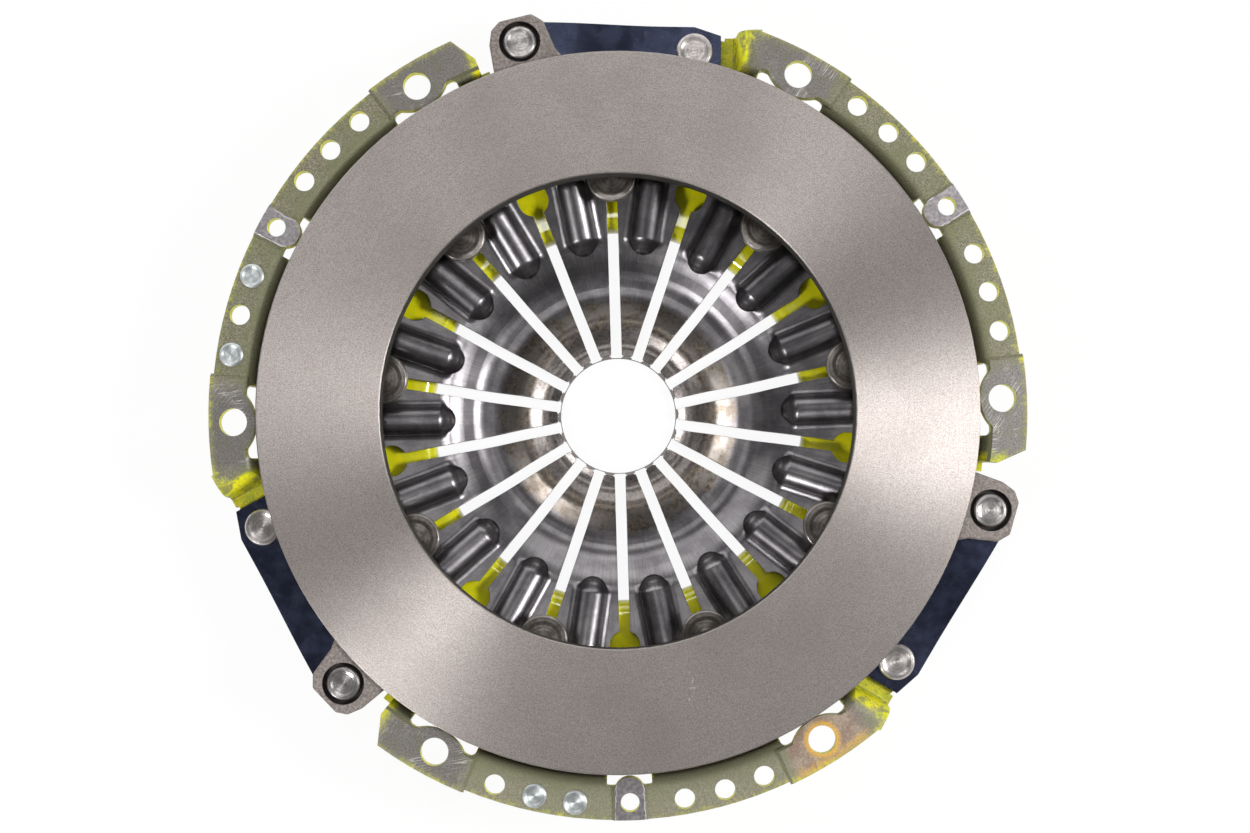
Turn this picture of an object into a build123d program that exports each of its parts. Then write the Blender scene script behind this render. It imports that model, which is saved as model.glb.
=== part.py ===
from build123d import *
from math import atan2, cos, degrees, hypot, radians, sin, tan
import os

os.makedirs("parts", exist_ok=True)

# Clutch pressure plate, in mm.
# +Z is the clutch axis and points at the flywheel. z = 0 is the mounting face of the cover's pads.
# Angles are clock angles: 0 is +Y, and they grow clockwise for someone who looks at the friction face.

# Repeats round the axis
sector_count = 3                # flange arcs, lugs and strap packs
finger_count = 18               # diaphragm fingers
leaf_count = 3                  # leaves in each strap pack

# Pressure plate casting
ring_outer_radius = 122.0
ring_bore_radius = 80.2
face_height = 3.0               # friction face above the flange face, plate at rest
rim_thickness = 8.0             # thin outer rim that passes over the straps
body_thickness = 15.0           # thick inner body
bore_relief = 6.0               # slope that widens the back of the bore
ridge_nose = 3.0                # nose radius of the ridge that bears on the spring
ridge_root = 2.0                # fillet where the ridge meets the body
face_chamfer = 0.35
plate_travel = 5.0              # from free to fully released
travel_room = 0.4               # least room left at the end of the travel

# Lugs of the casting
lug_angle = -14.93
lug_reach = 8.0                 # lug rivets outside the friction ring
lug_drop = 2.0                  # lug's top below the friction face
lug_thickness = 8.0
lug_corner = 1.6
lug_edge = 0.7                  # rounding of the lugs' top edges

# Cover pressing
cover_sheet = 4.0
floor_depth = 33.0              # flange face to the floor's inside
collar_radius = 65.6
collar_length = 7.0
collar_bend = 5.0
bowl_bend = 6.0
lower_wall_lean = 4.5           # how far the lower wall leans out from floor to shelf
shelf_depth = 13.0              # flange face to the shelf that carries the straps
shelf_inset = 5.0               # shelf's inner corner inside the friction ring
shelf_margin = 6.6              # shelf beyond the strap rivets
upper_wall_gap = 0.6            # friction ring to the foot of the upper wall
upper_wall_lean = 1.4
upper_foot_bend = 1.5
tight_bend = 4.3                # inside radius of the two bends that turn outwards
pad_raise = 1.2                 # pads stand proud of the rest of the flange
pad_margin = 8.3                # pads beyond the bolt circle
waist_step = 0.9                # flange is narrower between its outer pads
pad_crease = 1.0                # slope at the ends and the inner edge of the pads
pad_inset = 0.4                 # pads' inner edge inside the openings' outer edge

# Flange pattern, as angles from the middle of each flange arc
arc_middle = 58.2
bolt_inset = 6.0                # bolt circle outside the upper wall
bolt_hole_radius = 4.7
bolt_spread = 30.0
dowel_shift = 1.5               # dowel circle outside the bolt circle
dowel_hole_radius = 3.15
balance_shift = 2.3             # circle of balance holes outside the bolt circle
balance_hole_radius = 3.45
balance_spreads = (8.0, 14.0, 20.0)
near_pad = (-39.5, -23.0)       # pad round the first bolt
middle_pad = (-2.6, 2.6)        # pad round the dowel
far_pad = (23.8, 41.0)          # pad round the last bolt
bolt_opening = 5.7              # half the angle of the opening in the wall
dowel_opening = 3.5
bolt_opening_corner = 1.8
dowel_opening_corner = 0.8
opening_margin = 2.2            # openings beyond the top of the upper wall
bolt_tongue_radius = 14.0       # wide tongue of the flange that bridges the opening
bolt_tongue_shift = 6.5         # tongue's middle outside the bolt circle
dowel_tongue_radius = 5.2
dowel_tongue_shift = 3.2        # tongue's middle inside the dowel circle

# Ends of each flange arc, as angles from its middle
arc_start = -40.7
arc_start_corner = -38.6
arc_end_corner = 37.4
arc_end = 39.7
end_corner_drop = 9.0           # how far the far end's corner is cut back
lug_gap_start = -78.9           # opening of the lower wall under the lug
lug_gap_end = -52.3
lug_gap_depth = 17.8
slope_gap = 5.0                 # strap's end to the foot of the slope that rises to the flange
slope_lean = 1.0
slope_bend = 6.0
slope_edge = 5.5                # slope's outer edge from the line through the strap's rivets
slope_overlap = 2.0             # slope's flat ends inside the shelf and inside the first pad

# Drive straps
strap_reach = 5.5               # cover rivets outside the friction ring
strap_angle = 11.95
strap_width = 17.6
strap_overhang = 9.2            # strap beyond the cover's rivet
strap_lug_overhang = 8.2        # strap beyond the lug's rivet
strap_flat = 9.5                # flat seat inwards of each rivet
strap_nip = 3.0                 # drop of the outer corner, which is cut off from the rivet on
leaf_thickness = 0.7
leaf_gap = 0.02
leaf_hole_gap = 0.1

# Strap rivets
strap_shank_radius = 4.0
lug_head_radius = 5.55
lug_head_height = 2.6
lug_counterbore_radius = 7.05
lug_counterbore_depth = 2.9
cover_head_radius = 6.2
cover_head_height = 2.2
strap_tail_radius = 5.6
strap_tail_height = 2.4
pocket_gap = 0.8                # pocket in the casting's rim, round each cover rivet's head

# Diaphragm spring
spring_sheet = 3.0
spring_edge_gap = 1.5           # spring's edge to the bowl
spring_tip_radius = 21.5
cone_angle = 12.5
slot_width = 3.8
slot_angle = 18.3
keyhole_gap = 1.2               # keyhole round a rivet's shank
keyhole_stretch = 1.4
ridge_inset = 3.0               # ridge inside the spring's edge
ridge_gap = 0.15                # ridge to the spring
tip_chamfer = 0.4
rib_angle = 8.3
rib_width = 10.4
rib_inner_radius = 58.2
rib_outer_radius = 87.0
rib_height = 2.7

# Finger's bends inside the cone: radius where each stretch starts, its slope and the bend's radius
bend_starts = (58.3, 49.2, 42.8, 33.2, 25.8)
bend_slopes = (34.0, 0.0, -20.0, 25.0, -20.0)
bend_rounds = (20.0, 10.0, 9.0, 7.0, 6.0)

# Fulcrum wires and the rivets that hold them
wire_radius = 2.25
wire_split = 2.0
wire_gap = 0.15                 # wire to the rivet's shank
spring_rivet_radius = 82.7      # circle of the rivets
spring_shank_radius = 4.2
spring_head_radius = 8.6
spring_head_height = 2.3
spring_tail_radius = 6.4
spring_tail_height = 2.5
rivet_edge = 0.5                # chamfer round every rivet head
rivet_gap = 0.03                # hole to shank
dish_depth = 0.25               # hollow in the middle of every rivet head
dish_share = 0.78               # hollow's radius as a share of the head's
dish_floor_share = 0.60

# Balance rivets: sector and angle of each hole that is filled
balance_head_radius = 4.1
balance_head_height = 0.9
balance_tail_radius = 4.4
balance_tail_height = 0.9
balance_places = ((1, 8.0), (1, 14.0), (2, -20.0), (2, -8.0))

# Margin of every cutting tool, so that it leaves no skin
spare = 1.5
far_out = 60.0                  # well beyond the flange

# Radii that follow
lug_rivet_radius = ring_outer_radius + lug_reach
strap_rivet_radius = ring_outer_radius + strap_reach
wall_foot_radius = ring_outer_radius + upper_wall_gap
wall_top_radius = wall_foot_radius + upper_wall_lean
bolt_circle_radius = wall_top_radius + bolt_inset
dowel_circle_radius = bolt_circle_radius + dowel_shift
balance_circle_radius = bolt_circle_radius + balance_shift
pad_radius = bolt_circle_radius + pad_margin
waist_radius = pad_radius - waist_step
opening_outer_radius = wall_top_radius + opening_margin
pad_inner_radius = opening_outer_radius - pad_inset
opening_inner_radius = wall_foot_radius - upper_foot_bend
shelf_corner_radius = ring_outer_radius - shelf_inset
shelf_outer_radius = strap_rivet_radius + shelf_margin
bowl_radius = shelf_corner_radius - lower_wall_lean
body_radius = shelf_corner_radius - upper_foot_bend - travel_room
spring_outer_radius = bowl_radius - spring_edge_gap
ridge_radius = spring_outer_radius - ridge_inset
fulcrum_radius = spring_rivet_radius + spring_shank_radius + wire_gap + wire_radius
keyhole_radius = spring_shank_radius + keyhole_gap
keyhole_inner_middle = spring_rivet_radius - keyhole_stretch

# Heights that follow
flange_top = -pad_raise
flange_bottom = flange_top - cover_sheet
pad_bottom = -cover_sheet
shelf_top = -shelf_depth
shelf_bottom = shelf_top - cover_sheet
floor_top = -floor_depth
floor_bottom = floor_top - cover_sheet
lug_top = face_height - lug_drop
lug_bottom = lug_top - lug_thickness
rim_bottom = face_height - rim_thickness
body_bottom = face_height - body_thickness
leaf_pitch = leaf_thickness + leaf_gap
pack_height = leaf_count * leaf_pitch
cone_cos = cos(radians(cone_angle))
cone_tan = tan(radians(cone_angle))
wire_reach = (wire_radius + spring_sheet / 2) / cone_cos
fulcrum_height = floor_top + wire_radius + wire_reach
spring_head_seat = fulcrum_height + wire_reach + wire_radius
cover_head_top = shelf_top + pack_height + cover_head_height

# Turns of the repeated sectors
sector_turn = 360 / sector_count
sector_turns = [sector_turn * i for i in range(sector_count)]
arc_middles = [arc_middle + turn for turn in sector_turns]
finger_turn = 360 / finger_count
spring_rivet_count = finger_count // 2
spring_rivet_angle = slot_angle + finger_turn


def on_circle(radius, angle):
    """Point at a radius and a clock angle."""
    return (radius * sin(radians(angle)), radius * cos(radians(angle)))


def math_angle(angle):
    """Clock angle as the anticlockwise angle from +X that arcs and patterns use."""
    return 90 - angle


def station(radius, angle, height=0):
    """Plane at a point of the clutch: x runs clockwise, y runs outwards and z points at the flywheel."""
    x, y = on_circle(radius, angle)
    return Plane(origin=(x, y, height), x_dir=(cos(radians(angle)), -sin(radians(angle)), 0))


def strap_station(turn):
    """Plane at a lug's rivet: x runs along the strap to the cover's rivet and y runs outwards."""
    from_x, from_y = on_circle(lug_rivet_radius, lug_angle + turn)
    to_x, to_y = on_circle(strap_rivet_radius, strap_angle + turn)
    return Plane(origin=(from_x, from_y, 0), x_dir=(to_x - from_x, to_y - from_y, 0))


def ring_sector(inner, outer, start, end):
    """Sketch of a ring between two radii, from one clock angle to another."""
    with BuildSketch() as sector:
        with BuildLine():
            outer_arc = CenterArc((0, 0), outer, math_angle(end), end - start)
            inner_arc = CenterArc((0, 0), inner, math_angle(end), end - start)
            Line(outer_arc @ 0, inner_arc @ 0)
            Line(outer_arc @ 1, inner_arc @ 1)
        make_face()
    return sector.sketch


def cone_height(radius):
    """Height of the middle of the spring sheet on its cone."""
    return fulcrum_height + (radius - fulcrum_radius) * cone_tan


def make_rivet(centre, head_seat, head_size, shank_radius, tail_seat, tail_size):
    """Upright rivet at a point. Each size is a radius and a height, and the head is dished."""
    head_radius, head_height = head_size
    tail_radius, tail_height = tail_size
    head_top = head_seat + head_height
    tail_bottom = tail_seat - tail_height
    section = Plane(origin=(*centre, 0), x_dir=(1, 0, 0), z_dir=(0, -1, 0))
    with BuildPart() as rivet:
        with BuildSketch(section):
            with BuildLine():
                Polyline(
                    (0, head_top - dish_depth),
                    (head_radius * dish_floor_share, head_top - dish_depth),
                    (head_radius * dish_share, head_top),
                    (head_radius - rivet_edge, head_top),
                    (head_radius, head_top - rivet_edge),
                    (head_radius, head_seat),
                    (shank_radius, head_seat),
                    (shank_radius, tail_seat),
                    (tail_radius, tail_seat),
                    (tail_radius, tail_bottom + rivet_edge),
                    (tail_radius - rivet_edge, tail_bottom),
                    (0, tail_bottom),
                    close=True,
                )
            make_face()
        revolve(axis=Axis((*centre, 0), (0, 0, 1)))
    return rivet.part


# Length of a strap between its rivets
lug_x, lug_y = on_circle(lug_rivet_radius, lug_angle)
strap_x, strap_y = on_circle(strap_rivet_radius, strap_angle)
strap_length = hypot(strap_x - lug_x, strap_y - lug_y)


# Slope at the start of each flange arc: it rises from the shelf across the strap's end, like the upper wall
slope_foot = strap_length + strap_overhang + slope_gap
slope_corner = slope_foot + slope_lean
slope_turn = 90 - degrees(atan2(slope_lean, shelf_depth))
slope_end = slope_corner + slope_bend * tan(radians(slope_turn / 2))
slope_line = strap_station(0)
slope_start = slope_line.from_local_coords((0, slope_edge, 0))

with BuildPart() as slope:
    with BuildSketch(Plane(origin=slope_start, x_dir=slope_line.x_dir, z_dir=-slope_line.y_dir)):
        with BuildLine():
            FilletPolyline(
                (slope_foot - upper_foot_bend - slope_overlap, shelf_top),
                (slope_foot, shelf_top),
                (slope_corner, 0),
                (slope_end + slope_overlap, 0),
                radius=(upper_foot_bend, slope_bend),
            )
            offset(amount=cover_sheet, side=Side.RIGHT)
        make_face()
    extrude(amount=slope_edge + strap_width)
    with BuildSketch(Plane.XZ):
        with BuildLine():
            FilletPolyline(
                (wall_foot_radius, shelf_top),
                (wall_top_radius, 0),
                (bolt_circle_radius, 0),
                radius=tight_bend,
            )
            Polyline(
                (bolt_circle_radius, 0),
                (bolt_circle_radius, spare),
                (0, spare),
                (0, shelf_bottom - spare),
                (wall_foot_radius, shelf_bottom - spare),
                (wall_foot_radius, shelf_top),
            )
        make_face()
    revolve(axis=Axis.Z, mode=Mode.SUBTRACT)


# Cover: one pressing with a collared floor, a lower wall, a shelf, an upper wall and a flange
cover_path = (
    (collar_radius, floor_top - collar_length),
    (collar_radius, floor_top),
    (bowl_radius, floor_top),
    (shelf_corner_radius, shelf_top),
    (wall_foot_radius, shelf_top),
    (wall_top_radius, flange_top),
    (pad_radius, flange_top),
)
cover_bends = (collar_bend, bowl_bend, tight_bend, upper_foot_bend, tight_bend)
pads = (near_pad, middle_pad, far_pad)
waist = (near_pad[1], far_pad[0])
bolt_tongue_middle = bolt_circle_radius + bolt_tongue_shift
bolt_shape = (bolt_opening, bolt_opening_corner, bolt_tongue_middle, bolt_tongue_radius, pad_bottom)
dowel_middle = dowel_circle_radius - dowel_tongue_shift
dowel_shape = (dowel_opening, dowel_opening_corner, dowel_middle, dowel_tongue_radius, flange_bottom)
openings = ((-bolt_spread, bolt_shape), (0, dowel_shape), (bolt_spread, bolt_shape))
wall_outside_radius = wall_top_radius + cover_sheet + travel_room

with BuildPart() as cover:
    with BuildSketch(Plane.XZ):
        with BuildLine():
            FilletPolyline(*cover_path, radius=cover_bends)
            offset(amount=cover_sheet, side=Side.RIGHT)
        make_face()
    revolve(axis=Axis.Z)

    # Pads: the sheet is pressed up, so its underside rises with its top
    for middle in arc_middles:
        for start, end in pads:
            with BuildSketch(Plane.XY.offset(flange_top)):
                add(ring_sector(pad_inner_radius, pad_radius, middle + start, middle + end))
            extrude(amount=pad_raise)
            with BuildSketch(Plane.XY.offset(flange_bottom - spare)):
                add(ring_sector(wall_outside_radius, pad_radius + spare, middle + start, middle + end))
            extrude(amount=pad_raise + spare, mode=Mode.SUBTRACT)
        with BuildSketch(Plane.XY.offset(flange_bottom - spare)):
            add(ring_sector(waist_radius, pad_radius + spare, middle + waist[0], middle + waist[1]))
        extrude(amount=pad_raise + cover_sheet + 2 * spare, mode=Mode.SUBTRACT)
    pad_rims = cover.edges().group_by(Axis.Z)[-1]
    pad_ends = pad_rims.filter_by(GeomType.LINE)
    pad_inner_rims = pad_rims.filter_by(GeomType.CIRCLE).sort_by(SortBy.RADIUS)[: len(pad_ends) // 2]
    chamfer(pad_ends + pad_inner_rims, length=pad_crease)

    # Gaps between the flange arcs, down to the shelf
    for middle in arc_middles:
        arc_to = middle + arc_end
        next_from = middle + sector_turn + arc_start
        with BuildSketch(Plane.XY.offset(shelf_top)):
            with BuildLine():
                Polyline(
                    on_circle(shelf_corner_radius, arc_to),
                    on_circle(pad_radius - end_corner_drop, arc_to),
                    on_circle(pad_radius, middle + arc_end_corner),
                    on_circle(pad_radius + far_out, middle + arc_end_corner),
                    on_circle(pad_radius + far_out, middle + sector_turn / 2),
                    on_circle(pad_radius + far_out, middle + sector_turn + arc_start_corner),
                    on_circle(waist_radius, middle + sector_turn + arc_start_corner),
                    on_circle(shelf_outer_radius, next_from),
                    on_circle(shelf_corner_radius, next_from),
                    close=True,
                )
            make_face()
        extrude(amount=shelf_depth + spare, mode=Mode.SUBTRACT)
    for turn in sector_turns:
        with BuildSketch(strap_station(turn).offset(shelf_top)):
            with Locations((slope_end - slope_gap - strap_overhang, 0)):
                Rectangle(2 * (slope_gap + strap_overhang), 2 * strap_width)
        extrude(amount=shelf_depth + spare, mode=Mode.SUBTRACT)

    # Shelf under the strap's end, and the slope that joins it to the flange
    for middle in arc_middles:
        shelf_end = middle + arc_start_corner
        with BuildSketch(Plane.XY.offset(shelf_bottom)):
            add(ring_sector(shelf_corner_radius, shelf_outer_radius, middle + lug_gap_end, shelf_end))
        extrude(amount=cover_sheet)
    with PolarLocations(0, sector_count):
        add(slope.part)

    # Openings behind each bolt and dowel: the wall is pierced and the flange bridges it with a tongue
    for middle in arc_middles:
        for shift, (half_angle, corner, tongue_middle, tongue_radius, underside) in openings:
            start, end = middle + shift - half_angle, middle + shift + half_angle
            with BuildSketch(Plane.XY.offset(shelf_bottom - spare)):
                add(ring_sector(opening_inner_radius, shelf_outer_radius, start, end))
            extrude(amount=underside - shelf_bottom + spare, mode=Mode.SUBTRACT)
            with BuildSketch(Plane.XY.offset(underside)):
                add(ring_sector(opening_inner_radius, bolt_circle_radius, start, end))
                with Locations(on_circle(tongue_middle, middle + shift)):
                    Circle(tongue_radius, mode=Mode.INTERSECT)
            extrude(amount=-underside)
            with BuildSketch(Plane.XY.offset(underside - spare)) as see_through:
                add(ring_sector(opening_inner_radius, opening_outer_radius, start, end))
                with Locations(on_circle(tongue_middle, middle + shift)):
                    Circle(tongue_radius, mode=Mode.SUBTRACT)
                fillet(see_through.vertices().group_by(SortBy.DISTANCE)[-1], radius=corner)
            extrude(amount=spare * 2 - underside, mode=Mode.SUBTRACT)

    # Opening of the lower wall under the lug and the free length of the straps
    for middle in arc_middles:
        with BuildSketch(Plane.XY.offset(-lug_gap_depth)):
            start, end = middle + lug_gap_start, middle + lug_gap_end
            add(ring_sector(bowl_radius - spare, pad_radius + spare, start, end))
        extrude(amount=lug_gap_depth + spare, mode=Mode.SUBTRACT)

    # Holes of the flange, of the shelf and of the floor
    for middle in arc_middles:
        with BuildSketch(Plane.XY.offset(spare)):
            with Locations(*[on_circle(bolt_circle_radius, middle + s) for s in (-bolt_spread, bolt_spread)]):
                Circle(bolt_hole_radius)
            with Locations(on_circle(dowel_circle_radius, middle)):
                Circle(dowel_hole_radius)
            for spread in balance_spreads:
                with Locations(*[on_circle(balance_circle_radius, middle + s) for s in (-spread, spread)]):
                    Circle(balance_hole_radius)
        extrude(amount=flange_bottom - 2 * spare, mode=Mode.SUBTRACT)
    with BuildSketch(Plane.XY.offset(shelf_top + spare)):
        with PolarLocations(strap_rivet_radius, sector_count, start_angle=math_angle(strap_angle)):
            Circle(strap_shank_radius + rivet_gap)
    extrude(amount=-cover_sheet - 2 * spare, mode=Mode.SUBTRACT)
    with BuildSketch(Plane.XY.offset(floor_top + spare)):
        first_rivet = math_angle(spring_rivet_angle)
        with PolarLocations(spring_rivet_radius, spring_rivet_count, start_angle=first_rivet):
            Circle(spring_shank_radius + rivet_gap)
    extrude(amount=-cover_sheet - 2 * spare, mode=Mode.SUBTRACT)
cover.part.label = "cover"
export_step(cover.part, "parts/cover.step")


# Pressure plate: a turned casting with a bearing ridge on its back and three lugs
ridge_reach = (ridge_nose + spring_sheet / 2 + ridge_gap) / cone_cos
ridge_centre = cone_height(ridge_radius) + ridge_reach
pocket_top = cover_head_top + plate_travel + travel_room
lug_outline = (
    (-11.4, -17.0),
    (-11.4, -11.0),
    (-10.3, 1.5),
    (-8.4, 6.2),
    (-5.0, 8.5),
    (6.2, 8.3),
    (9.6, 4.9),
    (11.2, -5.3),
    (13.8, -10.6),
    (13.8, -17.0),
)

with BuildPart() as pressure_plate:
    with BuildSketch(Plane.XZ) as plate_section:
        with BuildLine():
            ridge_nose_arc = ThreePointArc(
                (ridge_radius + ridge_nose, ridge_centre),
                (ridge_radius, ridge_centre - ridge_nose),
                (ridge_radius - ridge_nose, ridge_centre),
            )
            Polyline(
                ridge_nose_arc @ 1,
                (ridge_radius - ridge_nose, body_bottom),
                (ring_bore_radius + bore_relief, body_bottom),
                (ring_bore_radius, body_bottom + bore_relief),
                (ring_bore_radius, face_height),
                (ring_outer_radius, face_height),
                (ring_outer_radius, rim_bottom),
                (body_radius, rim_bottom),
                (body_radius, body_bottom),
                (ridge_radius + ridge_nose, body_bottom),
                ridge_nose_arc @ 0,
            )
        make_face()
        body_corners = plate_section.vertices().filter_by_position(Axis.Y, body_bottom, body_bottom)
        fillet(body_corners.sort_by(Axis.X)[1:3], radius=ridge_root)
    revolve(axis=Axis.Z)
    for turn in sector_turns:
        lug = station(lug_rivet_radius, lug_angle + turn)
        with BuildSketch(lug.offset(lug_bottom)) as lug_face:
            with BuildLine():
                Polyline(*lug_outline, close=True)
            make_face()
            outer_corners = lug_face.vertices().sort_by(Axis.Y)[4:]
            fillet(outer_corners, radius=lug_corner)
        extrude(amount=lug_thickness)
        lug_rim = pressure_plate.edges(Select.LAST).filter_by_position(Axis.Z, lug_top, lug_top)
        fillet(lug_rim.sort_by(SortBy.LENGTH)[:-1], radius=lug_edge)
        with BuildSketch(lug.offset(lug_top)):
            Circle(lug_counterbore_radius)
        extrude(amount=-lug_counterbore_depth, mode=Mode.SUBTRACT)
        with BuildSketch(lug.offset(lug_top)):
            Circle(strap_shank_radius + rivet_gap)
        extrude(amount=-lug_thickness, mode=Mode.SUBTRACT)
        with BuildSketch(station(strap_rivet_radius, strap_angle + turn, pocket_top)):
            Circle(cover_head_radius + pocket_gap)
        extrude(amount=body_bottom - pocket_top, mode=Mode.SUBTRACT)
    face_edges = pressure_plate.edges().filter_by(GeomType.CIRCLE).group_by(Axis.Z)[-1]
    chamfer(face_edges, length=face_chamfer)
pressure_plate.part.label = "pressure_plate"
export_step(pressure_plate.part, "parts/pressure_plate.step")


# Diaphragm spring: a cone with slots, keyholes, pressed ribs and bent finger tips
finger_path = [(spring_outer_radius, cone_height(spring_outer_radius))]
finger_path.append((bend_starts[0], cone_height(bend_starts[0])))
for stretch_end, slope in zip((*bend_starts[1:], spring_tip_radius), bend_slopes):
    radius, height = finger_path[-1]
    finger_path.append((stretch_end, height - (radius - stretch_end) * tan(radians(slope))))
sheet_rise = spring_sheet / 2 / cone_cos
finger_top = [(radius, height + sheet_rise) for radius, height in reversed(finger_path)]
spring_top = finger_top[-1][1]
spring_depth = floor_depth + collar_length
slot_start = spring_tip_radius - 2 * tip_chamfer

# Ribs: round bars pressed out of the sheet, whose axis lies below it
rib_middle = (rib_inner_radius + rib_outer_radius) / 2
rib_plane = Plane(
    origin=(rib_middle, 0, cone_height(rib_middle)),
    x_dir=(cone_cos, 0, cone_cos * cone_tan),
    z_dir=(-cone_cos * cone_tan, 0, cone_cos),
)
rib_radius = (rib_width ** 2 / 4 + rib_height ** 2) / (2 * rib_height)
rib_run = (rib_outer_radius - rib_inner_radius) / cone_cos - rib_width
rib_sink = rib_radius - rib_height - spring_sheet / 2


def make_rib_bar(radius):
    """Bar with round ends on the axis of the rib."""
    with BuildPart(rib_plane) as bar:
        with Locations((0, 0, -rib_sink)):
            Cylinder(radius, rib_run, rotation=(0, 90, 0))
        with Locations((-rib_run / 2, 0, -rib_sink), (rib_run / 2, 0, -rib_sink)):
            Sphere(radius)
    return bar.part


rib_hollow = make_rib_bar(rib_radius - spring_sheet)
with BuildPart() as rib:
    add(make_rib_bar(rib_radius))
    split(bisect_by=rib_plane, keep=Keep.TOP)

with BuildPart() as diaphragm_spring:
    with BuildSketch(Plane.XZ):
        with BuildLine():
            FilletPolyline(*finger_top, radius=bend_rounds[::-1])
            offset(amount=spring_sheet, side=Side.RIGHT)
        make_face()
    revolve(axis=Axis.Z)
    with PolarLocations(0, finger_count, start_angle=math_angle(rib_angle)):
        add(rib.part)
        add(rib_hollow, mode=Mode.SUBTRACT)
    slot_length = spring_rivet_radius - slot_start
    with BuildSketch(Plane.XY.offset(spring_top)):
        with PolarLocations(slot_start + slot_length / 2, finger_count, start_angle=math_angle(slot_angle)):
            Rectangle(slot_length, slot_width)
        keyhole_middle = (spring_rivet_radius + keyhole_inner_middle) / 2
        with PolarLocations(keyhole_middle, finger_count, start_angle=math_angle(slot_angle)):
            SlotCenterToCenter(keyhole_stretch, 2 * keyhole_radius)
        with PolarLocations(spring_tip_radius, finger_count, start_angle=math_angle(slot_angle)):
            Polygon(
                (tip_chamfer, slot_width / 2),
                (tip_chamfer, -slot_width / 2),
                (-tip_chamfer, -slot_width / 2 - 2 * tip_chamfer),
                (-tip_chamfer, slot_width / 2 + 2 * tip_chamfer),
                align=None,
            )
    extrude(amount=-spring_depth, mode=Mode.SUBTRACT)
diaphragm_spring.part.label = "diaphragm_spring"
export_step(diaphragm_spring.part, "parts/diaphragm_spring.step")


# Fulcrum wires: one each side of the spring, split so that they spring into place
wire_heights = {
    "fulcrum_wire_back": fulcrum_height - wire_reach,
    "fulcrum_wire_front": fulcrum_height + wire_reach,
}
for wire_name, wire_height in wire_heights.items():
    with BuildPart() as wire:
        with BuildSketch(Plane.XZ):
            with Locations((fulcrum_radius, wire_height)):
                Circle(wire_radius)
        revolve(axis=Axis.Z)
        with BuildSketch(station(fulcrum_radius, rib_angle, wire_height - 2 * wire_radius)):
            Rectangle(wire_split, 3 * wire_radius)
        extrude(amount=4 * wire_radius, mode=Mode.SUBTRACT)
    wire.part.label = wire_name
    export_step(wire.part, f"parts/{wire_name}.step")


# Rivets that hold the spring and its wires to the cover's floor
for number in range(spring_rivet_count):
    spring_rivet = make_rivet(
        on_circle(spring_rivet_radius, spring_rivet_angle + 2 * finger_turn * number),
        spring_head_seat,
        (spring_head_radius, spring_head_height),
        spring_shank_radius,
        floor_bottom,
        (spring_tail_radius, spring_tail_height),
    )
    spring_rivet.label = f"diaphragm_rivet_{number + 1}"
    export_step(spring_rivet, f"parts/{spring_rivet.label}.step")


# Drive straps: leaves that are flat at both rivets and bend between them like a flat S
strap_rise = lug_bottom - (shelf_top + pack_height)


def make_leaf(turn, level):
    """One strap leaf. Level 0 lies under the lug, and the others follow below it."""
    place = strap_station(turn)
    lug_level = lug_bottom - level * leaf_pitch
    cover_level = lug_level - strap_rise
    strap_end = strap_length + strap_overhang
    side = Plane(origin=place.origin, x_dir=place.x_dir, z_dir=-place.y_dir)
    with BuildPart() as leaf:
        with BuildSketch(side):
            with BuildLine():
                for drop in (0, leaf_thickness):
                    Line((-strap_lug_overhang, lug_level - drop), (strap_flat, lug_level - drop))
                    Spline(
                        (strap_flat, lug_level - drop),
                        (strap_length - strap_flat, cover_level - drop),
                        tangents=((1, 0), (1, 0)),
                    )
                    Line((strap_length - strap_flat, cover_level - drop), (strap_end, cover_level - drop))
                Line((-strap_lug_overhang, lug_level), (-strap_lug_overhang, lug_level - leaf_thickness))
                Line((strap_end, cover_level), (strap_end, cover_level - leaf_thickness))
            make_face()
        extrude(amount=strap_width / 2, both=True)
        with BuildSketch(place.offset(cover_level - strap_rise)):
            for rivet_x, end_x in ((0, -strap_lug_overhang), (strap_length, strap_end)):
                with BuildLine():
                    Polyline(
                        (rivet_x, strap_width / 2),
                        (end_x, strap_width / 2 - strap_nip),
                        (end_x, strap_width),
                        (rivet_x, strap_width),
                        close=True,
                    )
                make_face()
            with Locations((0, 0), (strap_length, 0)):
                Circle(strap_shank_radius + leaf_hole_gap)
        extrude(amount=2 * strap_rise + shelf_depth, mode=Mode.SUBTRACT)
    return leaf.part


for sector, turn in enumerate(sector_turns):
    for level in range(leaf_count):
        strap_leaf = make_leaf(turn, level)
        strap_leaf.label = f"drive_strap_{sector + 1}_leaf_{level + 1}"
        export_step(strap_leaf, f"parts/{strap_leaf.label}.step")


# Strap rivets: one through each lug and one through each shelf
for sector, turn in enumerate(sector_turns):
    lug_rivet = make_rivet(
        on_circle(lug_rivet_radius, lug_angle + turn),
        lug_top - lug_counterbore_depth,
        (lug_head_radius, lug_head_height),
        strap_shank_radius,
        lug_bottom - pack_height,
        (strap_tail_radius, strap_tail_height),
    )
    lug_rivet.label = f"lug_rivet_{sector + 1}"
    export_step(lug_rivet, f"parts/{lug_rivet.label}.step")

    cover_rivet = make_rivet(
        on_circle(strap_rivet_radius, strap_angle + turn),
        shelf_top + pack_height,
        (cover_head_radius, cover_head_height),
        strap_shank_radius,
        shelf_bottom,
        (strap_tail_radius, strap_tail_height),
    )
    cover_rivet.label = f"strap_rivet_{sector + 1}"
    export_step(cover_rivet, f"parts/{cover_rivet.label}.step")


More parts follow.
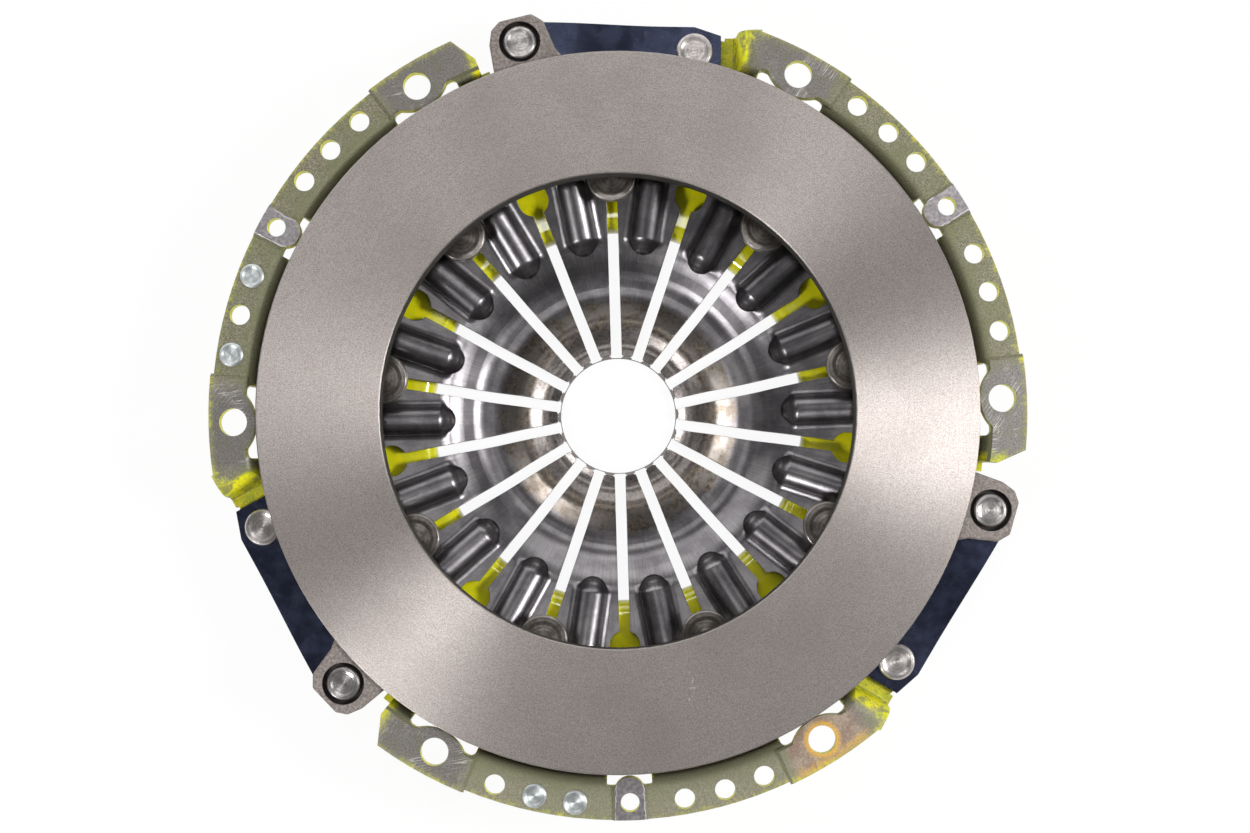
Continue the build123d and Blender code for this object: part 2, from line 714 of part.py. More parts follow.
# Balance rivets, in some of the flange's balance holes
for number, (sector, spread) in enumerate(balance_places):
    balance_rivet = make_rivet(
        on_circle(balance_circle_radius, arc_middles[sector] + spread),
        flange_top,
        (balance_head_radius, balance_head_height),
        balance_hole_radius - rivet_gap,
        flange_bottom,
        (balance_tail_radius, balance_tail_height),
    )
    balance_rivet.label = f"balance_rivet_{number + 1}"
    export_step(balance_rivet, f"parts/{balance_rivet.label}.step")
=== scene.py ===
from math import cos, radians, sin

import bmesh
import bpy
import numpy as np
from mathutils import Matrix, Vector


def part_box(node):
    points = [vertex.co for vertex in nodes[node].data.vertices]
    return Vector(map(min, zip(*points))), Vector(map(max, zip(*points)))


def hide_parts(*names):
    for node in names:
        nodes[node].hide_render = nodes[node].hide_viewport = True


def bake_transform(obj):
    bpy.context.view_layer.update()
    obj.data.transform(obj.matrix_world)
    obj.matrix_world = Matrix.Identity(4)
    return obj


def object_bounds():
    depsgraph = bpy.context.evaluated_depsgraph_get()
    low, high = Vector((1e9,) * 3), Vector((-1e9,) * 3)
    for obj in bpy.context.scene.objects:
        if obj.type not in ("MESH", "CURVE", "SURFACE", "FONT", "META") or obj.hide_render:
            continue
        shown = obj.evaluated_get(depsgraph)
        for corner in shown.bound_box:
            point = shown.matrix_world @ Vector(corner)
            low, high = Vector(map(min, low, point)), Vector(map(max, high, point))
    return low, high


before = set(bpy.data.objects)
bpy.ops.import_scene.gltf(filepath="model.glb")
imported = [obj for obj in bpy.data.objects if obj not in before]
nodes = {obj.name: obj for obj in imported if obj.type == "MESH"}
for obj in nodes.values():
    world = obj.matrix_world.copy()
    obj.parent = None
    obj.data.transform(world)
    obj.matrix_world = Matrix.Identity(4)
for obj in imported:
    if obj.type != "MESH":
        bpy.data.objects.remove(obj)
cad_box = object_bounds()
MM = 0.001

# The cover's pattern, as clock angles seen from the friction side: 0 is up and they grow clockwise
ARC_MIDDLE = 58.2
SECTOR = 120.0
RUSTY_PAD = 148.2
FINGER_TURN = 20.0
RIB_ANGLE = 8.3

# Other sizes in mm that the looks share with the solids
BOLT_CIRCLE_RADIUS = 130.0
RIB_END_RADIUS = 63.4
ARC_PER_DEGREE = 1.75  # length of one degree's arc at a radius of about 100 mm


def colour(red, green, blue):
    """Linear colour of a screen colour from 0 to 255."""
    shares = [value / 255 for value in (red, green, blue)]
    return (*[s / 12.92 if s <= 0.04045 else ((s + 0.055) / 1.055) ** 2.4 for s in shares], 1.0)


class Graph:
    """Node tree of one material. Lengths in it are in mm, in the row frame."""

    def __init__(self, name):
        self.material = bpy.data.materials.new(name)
        self.material.use_nodes = True
        self.tree = self.material.node_tree
        self.tree.nodes.clear()
        self.shader = self.node("BsdfPrincipled")
        output = self.node("OutputMaterial")
        self.tree.links.new(self.shader.outputs["BSDF"], output.inputs["Surface"])
        coords = self.node("TexCoord")
        self.own = coords.outputs["Generated"]
        self.mm = self.scaled(coords.outputs["Object"], (1000, 1000, 1000))
        self.x, self.y, self.z = self.split(self.mm)
        self.up = self.split(coords.outputs["Normal"])[2]
        self.radius = self.length(self.x, self.y)
        self.turn = self.math("DEGREES", self.math("ARCTAN2", self.x, self.y))
        self.polar = self.join(self.radius, self.math("MULTIPLY", self.turn, ARC_PER_DEGREE), self.z)

    def node(self, kind):
        return self.tree.nodes.new("ShaderNode" + kind)

    def put(self, socket, value):
        if isinstance(value, bpy.types.NodeSocket):
            self.tree.links.new(value, socket)
        else:
            socket.default_value = value

    def math(self, operation, *values):
        made = self.node("Math")
        made.operation = operation
        for socket, value in zip(made.inputs, values):
            self.put(socket, value)
        return made.outputs[0]

    def add(self, a, b):
        return self.math("ADD", a, b)

    def times(self, *values):
        result = values[0]
        for value in values[1:]:
            result = self.math("MULTIPLY", result, value)
        return result

    def inverse(self, value):
        return self.math("SUBTRACT", 1.0, value)

    def either(self, *values):
        result = values[0]
        for value in values[1:]:
            result = self.math("MAXIMUM", result, value)
        return result

    def length(self, a, b):
        return self.math("SQRT", self.add(self.times(a, a), self.times(b, b)))

    def scaled(self, vector, factors):
        made = self.node("VectorMath")
        made.operation = "MULTIPLY"
        self.put(made.inputs[0], vector)
        self.put(made.inputs[1], factors)
        return made.outputs[0]

    def moved(self, vector, offset):
        made = self.node("VectorMath")
        made.operation = "ADD"
        self.put(made.inputs[0], vector)
        self.put(made.inputs[1], offset)
        return made.outputs[0]

    def split(self, vector):
        made = self.node("SeparateXYZ")
        self.put(made.inputs[0], vector)
        return tuple(made.outputs)

    def join(self, *values):
        made = self.node("CombineXYZ")
        for socket, value in zip(made.inputs, values):
            self.put(socket, value)
        return made.outputs[0]

    def between(self, value, low, high, start=0.0, end=1.0):
        """Smooth step of a value from low to high."""
        made = self.node("MapRange")
        made.interpolation_type = "SMOOTHSTEP"
        for name, given in (
            ("Value", value), ("From Min", low), ("From Max", high), ("To Min", start), ("To Max", end),
        ):
            self.put(made.inputs[name], given)
        return made.outputs["Result"]

    def band(self, value, low, high, soft):
        """1 between low and high, with soft borders."""
        rise = self.between(value, low - soft, low + soft)
        return self.times(rise, self.between(value, high - soft, high + soft, 1.0, 0.0))

    def noise(self, scale, detail=3.0, roughness=0.55, where=None, distortion=0.0):
        made = self.node("TexNoise")
        self.put(made.inputs["Vector"], self.mm if where is None else where)
        for name, given in (
            ("Scale", scale), ("Detail", detail), ("Roughness", roughness), ("Distortion", distortion),
        ):
            self.put(made.inputs[name], given)
        return made.outputs[0]

    def blend(self, share, first, second):
        """Colour between two colours. Sockets 6 and 7 of the node are its colours."""
        made = self.node("Mix")
        made.data_type = "RGBA"
        self.put(made.inputs["Factor"], share)
        self.put(made.inputs[6], first)
        self.put(made.inputs[7], second)
        return made.outputs[2]

    def pick(self, share, first, second):
        """Number between two numbers. Sockets 2 and 3 of the node are its numbers."""
        made = self.node("Mix")
        self.put(made.inputs["Factor"], share)
        self.put(made.inputs[2], first)
        self.put(made.inputs[3], second)
        return made.outputs[0]

    def from_middle(self, middle, pitch):
        """Clock angle from the nearest of the middles that repeat at a pitch."""
        turned = self.math("MODULO", self.add(self.turn, 360.0 + pitch / 2 - middle), pitch)
        return self.add(turned, -pitch / 2)

    def scratches(self, turn, spacing, width, seed):
        """Thin broken lines in one direction."""
        made = self.node("VectorRotate")
        made.rotation_type = "Z_AXIS"
        self.put(made.inputs["Vector"], self.moved(self.mm, (seed, 2.3 * seed, 0)))
        self.put(made.inputs["Angle"], radians(turn))
        fine = self.noise(1.0, 1.0, 0.4, self.scaled(made.outputs[0], (1 / spacing, 0.05, 0.05)), 0.15)
        gate = self.noise(0.09, 2.0, 0.5, made.outputs[0])
        line = self.between(self.math("ABSOLUTE", self.add(fine, -0.5)), 0.0, width, 1.0, 0.0)
        return self.times(line, self.between(gate, 0.52, 0.66))

    def across_grinding(self, x, y, strength):
        """Spreads highlights outwards, like a face turned or ground in circles."""
        self.shader.inputs["Anisotropic"].default_value = strength
        self.put(self.shader.inputs["Tangent"], self.join(x, y, 0.0))

    def finish(self, shade, metallic, roughness, height=None, depth=0.05, round_edge=0.25):
        """Sets the shader. Depth is how many mm a height of 1 stands for, round_edge a radius in mm."""
        self.put(self.shader.inputs["Base Color"], shade)
        self.put(self.shader.inputs["Metallic"], metallic)
        self.put(self.shader.inputs["Roughness"], roughness)
        edge = self.node("Bevel")
        edge.samples = 4
        edge.inputs["Radius"].default_value = round_edge * MM
        normal = edge.outputs["Normal"]
        if height is not None:
            bump = self.node("Bump")
            self.put(bump.inputs["Height"], height)
            self.put(bump.inputs["Distance"], depth * MM)
            self.put(bump.inputs["Normal"], normal)
            normal = bump.outputs["Normal"]
        self.put(self.shader.inputs["Normal"], normal)
        return self.material


def casting():
    """Ground friction face, dark bore and grey-brown cast lugs, with painted shade deep in the bore and in
    the lugs' counterbores.
    """
    g = Graph("plate_casting")
    face = g.between(g.z, 2.5, 2.8)
    grain = g.noise(2.4, 3.0, 0.7)
    rings = g.noise(1.0, 2.0, 0.5, g.scaled(g.polar, (2.0, 0.10, 1)))
    cloud = g.noise(0.035, 3.0, 0.5)
    ground = g.blend(g.between(grain, 0.3, 0.7), colour(142, 134, 130), colour(192, 184, 180))
    ground = g.blend(g.times(g.between(rings, 0.42, 0.6), 0.15), ground, colour(192, 184, 180))
    ground = g.blend(g.times(g.between(cloud, 0.4, 0.7), 0.25), ground, colour(150, 141, 136))
    fine = g.either(g.scratches(24, 0.5, 0.02, 11.0), g.scratches(-51, 0.7, 0.02, 37.0))
    ground = g.blend(g.times(fine, 0.15), ground, colour(214, 207, 202))
    wobble = g.times(g.add(g.noise(0.5, 2.0, 0.5), -0.5), 5.0)
    nick = g.between(g.math("ABSOLUTE", g.add(g.add(g.x, wobble), -24.4)), 0.1, 0.35, 1.0, 0.0)
    nick = g.times(nick, g.band(g.y, -98.0, -88.0, 1.0), g.between(g.noise(0.9), 0.42, 0.55))
    ground = g.blend(g.times(nick, 0.6), ground, colour(232, 226, 220))

    cast = g.blend(g.between(g.noise(1.1, 5.0, 0.7), 0.35, 0.68),
                   colour(118, 110, 106), colour(164, 154, 148))
    cast = g.blend(g.times(g.between(g.noise(0.16, 2.0), 0.5, 0.7), 0.3), cast, colour(104, 97, 93))
    # Painted shade: near-black in the lug rivets' counterbores, below the lug tops
    painted_pit_shade = g.times(g.between(g.radius, 122.2, 122.6), g.between(g.z, -0.6, 0.4, 1.0, 0.0))
    cast = g.blend(g.times(painted_pit_shade, 0.9), cast, colour(24, 21, 20))
    bore = g.blend(g.between(g.noise(0.6, 3.0, 0.6, g.scaled(g.polar, (1, 0.2, 3))), 0.35, 0.65),
                   colour(56, 54, 50), colour(84, 82, 76))
    # Painted shadow: the bore wall turns near-black deeper down, below the plate's face
    bore = g.blend(g.between(g.z, -9.0, -2.0, 0.85, 0.0), bore, colour(20, 19, 18))
    is_bore = g.between(g.radius, 80.7, 81.1, 1.0, 0.0)
    rough_side = g.blend(is_bore, cast, bore)
    shade = g.blend(face, rough_side, ground)
    height = g.pick(face, g.noise(1.3, 5.0, 0.7), g.times(g.add(grain, g.times(rings, 0.5)), 0.10))
    roughness = g.pick(face, 0.66, g.between(cloud, 0.3, 0.7, 0.40, 0.45))
    g.across_grinding(g.x, g.y, 0.9)
    return g.finish(shade, g.pick(face, 0.4, 0.95), roughness, height, 0.16)


def cover_paint():
    """Dull olive phosphate on the friction side, with yellow-green spray on the back, cut edges and ends."""
    g = Graph("cover_paint")
    from_middle = g.from_middle(ARC_MIDDLE, SECTOR)
    aside = g.math("ABSOLUTE", from_middle)
    fuzz = g.add(g.noise(0.35, 5.0, 0.7), -0.5)
    speck = g.noise(1.9, 4.0, 0.75)
    spikes = g.add(g.noise(1.0, 4.0, 0.7, g.scaled(g.polar, (0.25, 1.1, 0.3))), -0.5)
    top = g.between(g.up, 0.75, 0.95)
    flange = g.between(g.z, -9.0, -4.0)

    olive = g.blend(g.between(speck, 0.34, 0.66), colour(92, 90, 71), colour(150, 146, 125))
    olive = g.blend(g.times(g.between(g.noise(0.12, 4.0), 0.42, 0.62), 0.4), olive, colour(110, 114, 78))
    # Painted light: the olive turns lighter towards the bottom (-y), where more light falls
    olive = g.blend(g.times(g.between(g.y, -70.0, -115.0), 0.25), olive, colour(160, 158, 136))
    inner = g.between(g.add(g.radius, g.times(fuzz, 5.0)), 125.5, 132.5, 1.0, 0.0)
    olive = g.blend(g.times(inner, 0.5), olive, colour(112, 114, 84))

    # Spray: thick on the back and on cut edges, a mist along the flange's rim and at the ends of each arc
    patchy = g.between(g.noise(0.07, 3.0, 0.6), 0.40, 0.60, 0.25, 1.0)
    rim = g.between(g.add(g.add(g.radius, g.times(fuzz, 4.0)), g.times(spikes, 7.0)), 135.6, 139.4)
    rim = g.times(rim, g.either(patchy, g.times(g.band(g.turn, -76.0, -30.0, 6.0), 0.9)))
    start = g.between(g.add(from_middle, g.times(fuzz, 5.0)), -39.6, -37.8, 1.0, 0.0)
    far_end = g.between(g.add(from_middle, g.times(fuzz, 5.0)), 37.2, 39.6)
    mist = g.either(g.times(rim, 0.8), start, g.times(far_end, 0.75))
    mist = g.times(mist, g.between(speck, 0.28, 0.62, 0.4, 1.0))
    window = g.either(g.band(aside, 24.0, 36.0, 0.2), g.between(aside, 3.6, 4.0, 1.0, 0.0))
    steep = g.inverse(g.between(g.math("ABSOLUTE", g.up), 0.3, 0.6))
    cut = g.times(steep, flange, g.either(window, g.between(g.radius, 128.4, 129.2)))
    back = g.between(g.up, -0.2, -0.5)
    deep = g.between(g.z, -29.0, -31.5)
    stained = g.between(g.add(g.noise(0.25, 5.0, 0.7), g.times(spikes, 0.6)), 0.38, 0.52, 0.25, 1.0)
    slope = g.times(g.band(from_middle, -46.0, -37.4, 0.8), g.band(g.z, -12.6, -0.6, 0.4), stained)
    fading = g.between(g.add(from_middle, g.times(fuzz, 20.0)), 44.0, 54.0, 1.0, 0.0)
    lip = g.times(g.between(from_middle, 37.8, 39.2), fading, g.band(g.z, -31.0, -1.6, 0.4), stained)
    shelf = g.times(g.band(g.z, -13.4, -12.4, 0.2), g.between(g.add(speck, spikes), 0.36, 0.62))
    spray = g.either(g.times(mist, top), cut, back, deep, slope, lip, g.times(shelf, 0.65))
    lemon = g.blend(g.between(g.noise(0.22, 4.0, 0.6), 0.35, 0.65),
                    colour(196, 202, 24), colour(236, 228, 20))
    streak = g.times(g.between(g.noise(0.9, 4.0, 0.65), 0.5, 0.72), g.inverse(deep), 0.55)
    lemon = g.blend(streak, lemon, colour(112, 116, 26))
    # Painted light: deep inside the cover the same yellow spray gets a brighter colour, standing in for the
    # light that the shade there takes away
    brightened_deep_lemon = g.blend(g.between(g.noise(0.3, 3.0), 0.35, 0.65), colour(236, 236, 26), colour(252, 244, 18))
    lemon = g.blend(deep, lemon, brightened_deep_lemon)
    shade = g.blend(spray, olive, lemon)

    # Pads: bare metal where the flywheel touches, with a haze of paint at their borders
    first = g.band(g.add(from_middle, g.times(fuzz, 4.0)), -36.8, -24.5, 1.0)
    last = g.band(g.add(from_middle, g.times(fuzz, 4.0)), 24.8, 38.4, 1.0)
    middle = g.band(g.add(from_middle, g.times(fuzz, 0.8)), -2.75, 2.62, 0.12)
    outside = g.add(g.add(g.radius, g.times(fuzz, 4.0)), g.times(spikes, 4.0))
    pads = g.times(g.either(first, last), g.between(outside, 135.6, 138.8, 1.0, 0.2))
    bare = g.times(g.either(g.times(pads, 0.9), middle), top, g.between(g.z, -1.0, -0.7))
    lines = g.either(g.scratches(35, 0.6, 0.03, 5.0), g.scratches(80, 0.9, 0.03, 21.0))
    steel = g.blend(g.between(g.noise(1.6, 5.0, 0.7), 0.34, 0.66), colour(103, 99, 98), colour(144, 139, 136))
    steel = g.blend(g.times(g.between(g.noise(0.2, 3.0), 0.45, 0.65), 0.35), steel, colour(116, 116, 92))
    steel = g.blend(g.times(lines, 0.85), steel, colour(216, 212, 210))
    bright = g.blend(g.between(g.noise(0.7, 3.0), 0.36, 0.68), colour(140, 136, 138), colour(174, 168, 168))
    border = g.add(g.math("ABSOLUTE", g.add(from_middle, 0.06)), g.times(g.add(g.noise(0.2, 2.0), -0.5), 1.6))
    glint = g.band(border, 2.10, 2.24, 0.07)
    bright = g.blend(g.times(glint, 0.8), bright, colour(236, 234, 240))
    steel = g.blend(middle, steel, bright)
    rust_near = g.band(g.turn, RUSTY_PAD - 6.0, RUSTY_PAD + 8.8, 1.6)
    rust = g.blend(g.between(g.noise(1.2, 5.0, 0.7), 0.34, 0.64),
                   colour(136, 120, 108), colour(178, 160, 142))
    brown = g.between(g.noise(0.16, 5.0, 0.65), 0.44, 0.58)
    brown = g.times(brown, g.between(speck, 0.3, 0.6, 0.5, 1.0))
    rust = g.blend(g.times(brown, 0.8), rust, colour(132, 104, 92))
    pad_angle = radians(RUSTY_PAD)
    hole_x, hole_y = BOLT_CIRCLE_RADIUS * sin(pad_angle), BOLT_CIRCLE_RADIUS * cos(pad_angle)
    from_hole = g.length(g.add(g.x, -hole_x), g.add(g.y, -hole_y))
    halo = g.between(g.add(from_hole, g.times(fuzz, 3.0)), 5.2, 7.0, 1.0, 0.0)
    golden = g.either(halo, g.between(g.add(outside, g.times(fuzz, 4.0)), 134.5, 137.5))
    rust = g.blend(g.times(golden, g.between(speck, 0.30, 0.55)), rust, colour(222, 172, 70))
    steel = g.blend(rust_near, steel, rust)
    shade = g.blend(bare, shade, steel)

    metallic = g.pick(bare, g.pick(spray, 0.35, 0.0), g.pick(rust_near, 0.8, 0.25))
    paint = g.pick(spray, 0.55, g.pick(deep, 0.42, 0.16))
    roughness = g.pick(bare, paint, g.pick(middle, 0.45, 0.32))
    height = g.add(g.times(g.noise(1.1, 5.0, 0.7), g.inverse(g.times(deep, 0.8))), g.times(lines, bare, -0.4))
    g.put(g.shader.inputs["Coat Weight"], deep)
    g.shader.inputs["Coat Roughness"].default_value = 0.12
    g.shader.inputs["Specular IOR Level"].default_value = 0.4
    return g.finish(shade, metallic, roughness, height, 0.08)


def spring_steel():
    """Dark tempered steel, with a dull brown zone where the finger tips were hardened."""
    g = Graph("spring_steel")
    cloud = g.noise(0.10, 4.0, 0.6)
    fine = g.noise(1.6, 4.0, 0.65)
    dark = g.blend(g.between(cloud, 0.35, 0.65), colour(104, 101, 104), colour(132, 129, 131))
    dark = g.blend(g.times(g.between(fine, 0.5, 0.72), 0.2), dark, colour(158, 155, 155))
    rays = g.noise(1.0, 3.0, 0.6, g.scaled(g.polar, (0.06, 1.1, 0)))
    dark = g.blend(g.times(g.between(rays, 0.45, 0.62), 0.3), dark, colour(84, 82, 86))

    # Soft corner along the foot of each rib, and painted shade in the crease there
    beside = g.times(g.radius, g.from_middle(RIB_ANGLE, FINGER_TURN), radians(1))
    before = g.math("MAXIMUM", g.add(g.times(g.radius, -1.0), RIB_END_RADIUS), 0.0)
    from_rib = g.length(beside, before)
    at_ribs = g.between(g.radius, 53.0, 57.0)
    # Painted shade: a darker band in the crease around each rib's foot
    dark = g.blend(g.times(g.band(from_rib, 5.0, 5.6, 0.3), at_ribs, 0.3), dark, colour(60, 58, 60))
    flank = g.math("MINIMUM", g.math("MAXIMUM", g.add(from_rib, -4.0), 0.0), 1.2)
    skirt = g.math("MINIMUM", g.math("MAXIMUM", g.add(g.times(from_rib, -1.0), 7.6), 0.0), 2.4)
    fillet = g.add(g.times(flank, flank, 1 / 4.2), g.times(skirt, skirt, 1 / 6.4))
    fillet = g.times(fillet, g.between(g.radius, 60.0, 63.5), g.between(g.up, 0.0, 0.1))

    spots = g.noise(0.8, 6.0, 0.75)
    patches = g.noise(0.22, 4.0, 0.6)
    wavy = g.add(g.radius, g.add(g.times(g.add(patches, -0.5), 9.0), g.times(g.add(spots, -0.5), 4.0)))
    inner = g.between(wavy, 39.5, 43.5, 1.0, 0.0)
    brown = g.blend(g.between(spots, 0.34, 0.64), colour(76, 68, 60), colour(128, 116, 100))
    brown = g.blend(g.times(g.between(patches, 0.48, 0.62), 0.6), brown, colour(90, 85, 84))
    ridge = g.times(g.band(g.radius, 34.5, 40.5, 1.0), g.between(patches, 0.38, 0.56))
    brown = g.blend(g.times(ridge, 0.6), brown, colour(142, 136, 130))
    crown = g.between(g.radius, 30.0, 32.5, 1.0, 0.0)
    worn = g.times(crown, g.between(spots, 0.38, 0.56))
    brown = g.blend(g.times(crown, 0.6), brown, colour(114, 108, 106))
    brown = g.blend(g.times(worn, 0.5), brown, colour(150, 144, 140))
    ripple = g.between(g.math("SINE", g.times(g.radius, 4.6)), 0.6, 1.0)
    tip = g.between(g.radius, 24.6, 25.6, 1.0, 0.0)
    brown = g.blend(g.times(ripple, tip, 0.35), brown, colour(158, 154, 152))
    shade = g.blend(g.times(inner, 0.8), dark, brown)

    sides = g.between(g.math("ABSOLUTE", g.up), 0.25, 0.6, 1.0, 0.0)
    shade = g.blend(g.times(sides, 0.4), shade, colour(58, 56, 54))
    dull = g.between(spots, 0.3, 0.7, 0.30, 0.42)
    matt = g.times(inner, g.inverse(g.either(ridge, crown)))
    roughness = g.pick(matt, g.between(fine, 0.3, 0.7, 0.29, 0.35), dull)
    height = g.add(g.add(g.times(fine, 0.002), g.times(inner, spots, 0.02)), fillet)
    return g.finish(shade, 0.97, roughness, height, 1.0, 0.35)


def strap_steel():
    """Blue-black tempered strip."""
    g = Graph("strap_steel")
    cloud = g.noise(0.14, 3.0, 0.6)
    shade = g.blend(g.between(cloud, 0.35, 0.65), colour(50, 55, 74), colour(62, 68, 90))
    lines = g.either(g.scratches(12, 0.6, 0.02, 3.0), g.scratches(130, 0.8, 0.02, 17.0))
    shade = g.blend(g.times(lines, 0.3), shade, colour(116, 120, 140))
    edge = g.between(g.math("ABSOLUTE", g.up), 0.3, 0.7, 1.0, 0.0)
    shade = g.blend(g.times(edge, 0.6), shade, colour(30, 30, 36))
    return g.finish(shade, 0.85, g.between(cloud, 0.3, 0.7, 0.22, 0.30), g.noise(1.2, 3.0), 0.02, 0.12)


def wire_steel():
    """Drawn wire."""
    g = Graph("wire_steel")
    drawn = g.noise(0.8, 3.0, 0.6, g.scaled(g.polar, (2, 0.1, 2)))
    shade = g.blend(g.between(drawn, 0.35, 0.65), colour(74, 74, 76), colour(118, 117, 118))
    return g.finish(shade, 0.9, 0.36, drawn, 0.03, 0.1)


def rivet(name, width, head, low, high, rim, rough, marks, dirt):
    """Headed rivet with faint turned rings and a painted highlight along the rim of its head.

    Width is that of its box in mm, head the head's radius in mm, rim the colour of the painted highlight near
    the head's edge, and marks how close its rings lie.
    """
    g = Graph(name)
    across, along, _ = g.split(g.own)
    across, along = (g.times(g.add(share, -0.5), width) for share in (across, along))
    off = g.length(across, along)
    wave = g.math("SINE", g.times(g.add(off, g.times(g.noise(0.4), 0.5)), marks))
    cloud = g.noise(0.5, 4.0, 0.65)
    shade = g.blend(g.between(cloud, 0.34, 0.66), low, high)
    shade = g.blend(g.times(g.between(wave, 0.0, 1.0), 0.3), shade, dirt)
    # Painted highlight: a light ring near the edge of the head
    shade = g.blend(g.times(g.band(off, head - 0.55, head - 0.2, 0.1), 0.6), shade, rim)
    shade = g.blend(g.times(g.between(g.noise(0.9, 5.0, 0.7), 0.56, 0.74), 0.35), shade, dirt)
    height = g.add(g.times(wave, 0.2), g.noise(1.4, 3.0))
    g.across_grinding(across, along, 0.7)
    return g.finish(shade, 0.92, rough, height, 0.03, 0.2)


def dress(obj, material):
    obj.data.materials.clear()
    obj.data.materials.append(material)


def flexing_copy(node):
    """Visible copy of a spring node, whose solid is rigid, shown while the node itself is hidden."""
    made = bpy.data.objects.new(node + "_flexing", nodes[node].data.copy())
    bpy.context.scene.collection.objects.link(made)
    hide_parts(node)
    return made


def slice_along(mesh, start, end, count):
    """Cuts a mesh by planes between two points, so that it can bend between them."""
    shape = bmesh.new()
    shape.from_mesh(mesh)
    run = end - start
    for step in range(count + 1):
        everything = shape.verts[:] + shape.edges[:] + shape.faces[:]
        at = start + run * step / count
        bmesh.ops.bisect_plane(shape, geom=everything, dist=1e-7, plane_co=at, plane_no=run.normalized())
    shape.to_mesh(mesh)
    shape.free()


# Looks of the CAD nodes
looks = {
    "cover": cover_paint(),
    "pressure_plate": casting(),
    "fulcrum_wire": wire_steel(),
    "diaphragm_rivet": rivet(
        "diaphragm_rivet_steel", width=17.2, head=8.6, low=colour(130, 124, 119),
        high=colour(166, 159, 153), rim=colour(214, 208, 204), rough=0.30, marks=4.2,
        dirt=colour(84, 76, 68)),
    "strap_rivet": rivet(
        "strap_rivet_steel", width=12.4, head=6.2, low=colour(176, 170, 168),
        high=colour(206, 200, 197), rim=colour(232, 227, 224), rough=0.30, marks=5.2,
        dirt=colour(128, 122, 118)),
    "lug_rivet": rivet(
        "lug_rivet_steel", width=11.2, head=5.55, low=colour(160, 157, 156),
        high=colour(194, 190, 188), rim=colour(226, 222, 220), rough=0.28, marks=6.0,
        dirt=colour(112, 108, 106)),
    "balance_rivet": rivet(
        "balance_rivet_zinc", width=8.8, head=4.1, low=colour(186, 192, 192),
        high=colour(216, 221, 221), rim=colour(228, 232, 232), rough=0.45, marks=3.0,
        dirt=colour(150, 156, 154)),
}
for name, obj in nodes.items():
    for start, look in looks.items():
        if name == start or name.startswith(start + "_"):
            dress(obj, look)

# Diaphragm spring, which rocks on its wires so that its edge follows the plate and its tips move the other
# way: a copy of its node, in spring steel
spring = flexing_copy("diaphragm_spring")
dress(spring, spring_steel())
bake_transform(spring)

# Drive straps: each leaf keeps its flat ends and is sliced between them, where it bends
STRAP_FLAT = 9.5 * MM
STRAP_SLICES = 16
strap_look = strap_steel()
for sector in range(1, 4):
    ends = []
    for rivet_node in (f"strap_rivet_{sector}", f"lug_rivet_{sector}"):
        low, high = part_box(rivet_node)
        ends.append(Vector(((low.x + high.x) / 2, (low.y + high.y) / 2, 0)))
    along = (ends[1] - ends[0]).normalized()
    bend_from, bend_to = ends[0] + along * STRAP_FLAT, ends[1] - along * STRAP_FLAT
    for level in range(1, 4):
        leaf = flexing_copy(f"drive_strap_{sector}_leaf_{level}")
        slice_along(leaf.data, bend_from, bend_to, STRAP_SLICES)
        dress(leaf, strap_look)
        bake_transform(leaf)

# Floor under the finger crowns, white to the camera. Its matte share keeps the shadow
FLOOR_RADIUS = 6.0
FLOOR_GLOW = 0.93
floor_height = cad_box[0].z - 0.2 * MM
bpy.ops.mesh.primitive_circle_add(
    vertices=96, radius=FLOOR_RADIUS, fill_type="NGON", location=(0, 0, floor_height))
floor = bpy.context.active_object
floor.name = "floor"
paper = bpy.data.materials.new("floor_paper")
paper.use_nodes = True
tree = paper.node_tree
tree.nodes.clear()
output = tree.nodes.new("ShaderNodeOutputMaterial")
mixer = tree.nodes.new("ShaderNodeMixShader")
matte = tree.nodes.new("ShaderNodeBsdfDiffuse")
matte.inputs["Color"].default_value = (0.9, 0.9, 0.9, 1)
glow = tree.nodes.new("ShaderNodeEmission")
glow.inputs["Strength"].default_value = 1.0
path = tree.nodes.new("ShaderNodeLightPath")
seen = path.outputs["Is Camera Ray"]
for ray in ("Is Glossy Ray", "Is Transmission Ray"):
    either = tree.nodes.new("ShaderNodeMath")
    either.operation = "MAXIMUM"
    tree.links.new(seen, either.inputs[0])
    tree.links.new(path.outputs[ray], either.inputs[1])
    seen = either.outputs[0]
share = tree.nodes.new("ShaderNodeMath")
share.operation = "MULTIPLY"
share.inputs[1].default_value = FLOOR_GLOW
tree.links.new(seen, share.inputs[0])
tree.links.new(share.outputs[0], mixer.inputs["Fac"])
tree.links.new(matte.outputs[0], mixer.inputs[1])
tree.links.new(glow.outputs[0], mixer.inputs[2])
tree.links.new(mixer.outputs[0], output.inputs["Surface"])
floor.data.materials.append(paper)

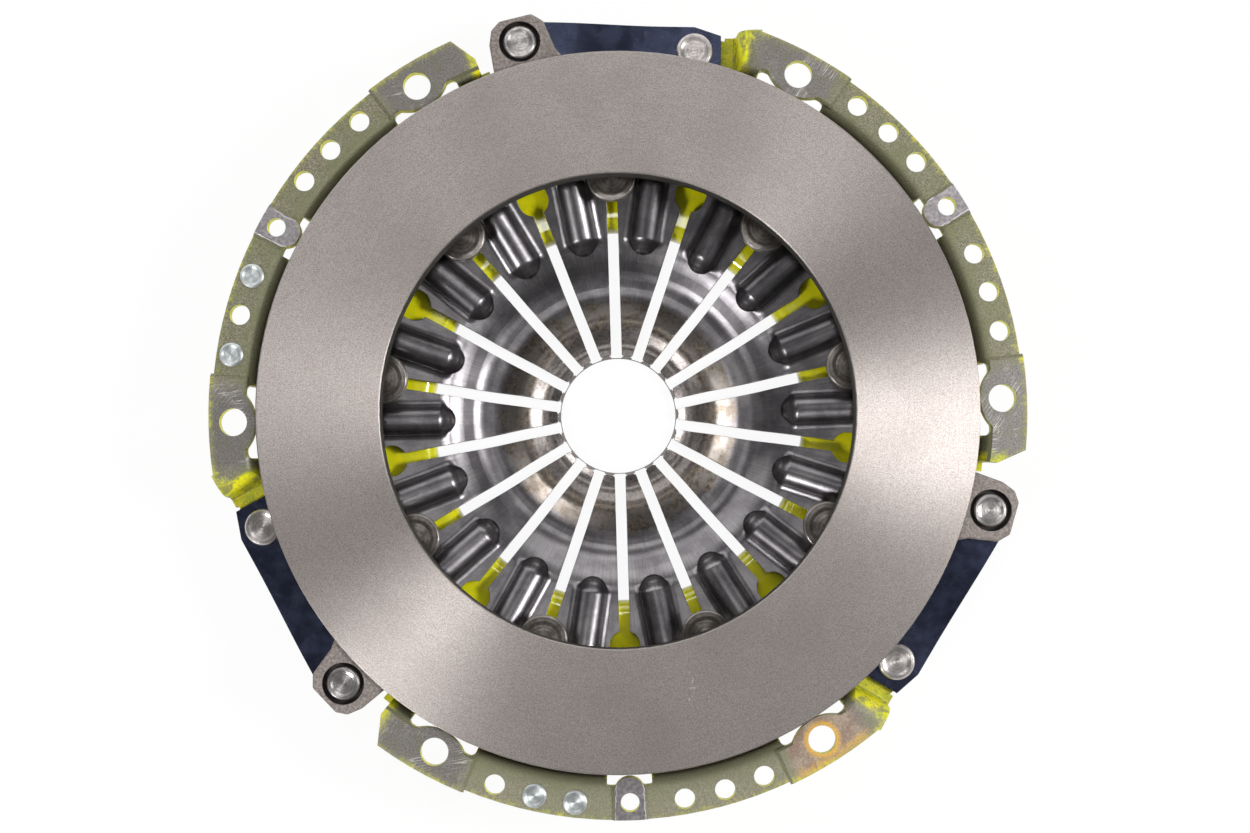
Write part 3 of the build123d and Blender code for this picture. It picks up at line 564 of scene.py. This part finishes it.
# Room: white at the horizon, grey overhead
world = bpy.data.worlds.new("studio")
bpy.context.scene.world = world
world.use_nodes = True
tree = world.node_tree
tree.nodes.clear()
output = tree.nodes.new("ShaderNodeOutputWorld")
sky = tree.nodes.new("ShaderNodeBackground")
coords = tree.nodes.new("ShaderNodeTexCoord")
split = tree.nodes.new("ShaderNodeSeparateXYZ")
ramp = tree.nodes.new("ShaderNodeMapRange")
ramp.interpolation_type = "SMOOTHSTEP"
for name, value in (("From Min", 0.06), ("From Max", 0.32), ("To Min", 1.0), ("To Max", 0.14)):
    ramp.inputs[name].default_value = value
tree.links.new(coords.outputs["Generated"], split.inputs[0])
tree.links.new(split.outputs[2], ramp.inputs["Value"])
tree.links.new(ramp.outputs["Result"], sky.inputs["Color"])
tree.links.new(sky.outputs[0], output.inputs["Surface"])


def softbox(name, azimuth, height, distance, size, power):
    """Rectangular lamp aimed at the object. Azimuth 0 is the right of the picture and 90 its top."""
    lamp = bpy.data.lights.new(name, "AREA")
    lamp.shape = "RECTANGLE"
    lamp.size, lamp.size_y = size
    lamp.energy = power
    made = bpy.data.objects.new(name, lamp)
    bpy.context.scene.collection.objects.link(made)
    a, e = radians(azimuth), radians(height)
    made.location = distance * Vector((cos(a) * cos(e), sin(a) * cos(e), sin(e)))
    made.rotation_euler = (-made.location).to_track_quat("-Z", "Y").to_euler()


softbox("strip_right", 0, 46, 1.3, (0.36, 0.34), 11.5)
softbox("strip_lower_left", -134, 44, 1.3, (0.26, 0.30), 7.2)
softbox("softbox_top", 104, 33, 1.5, (3.0, 0.8), 16)
softbox("fill_right", -15, 66, 1.4, (0.5, 0.3), 0.6)
softbox("glint_top", 97, 78, 1.4, (0.5, 0.08), 1.5)

# Camera: above the friction face, a little below the clutch axis in the picture
PHOTO_WIDTH, FOCAL_LENGTH = 1250, 1934  # in pixels of the photo
SENSOR_WIDTH = 36
FACE_HEIGHT = 3.0 * MM
TILT = radians(2.8)
DISTANCE = 0.650
TARGET = Vector((2.4 * MM, -2.3 * MM, FACE_HEIGHT))
camera = bpy.data.objects.new("camera", bpy.data.cameras.new("camera"))
bpy.context.scene.collection.objects.link(camera)
away = Vector((0, -sin(TILT), cos(TILT)))
camera.location = TARGET + away * DISTANCE
camera.rotation_euler = (-away).to_track_quat("-Z", "Y").to_euler()
camera.data.sensor_width = SENSOR_WIDTH
camera.data.lens = FOCAL_LENGTH / PHOTO_WIDTH * SENSOR_WIDTH
camera.data.clip_start, camera.data.clip_end = 0.01, 50
bpy.context.scene.camera = camera
bpy.context.scene.view_settings.view_transform = "Standard"
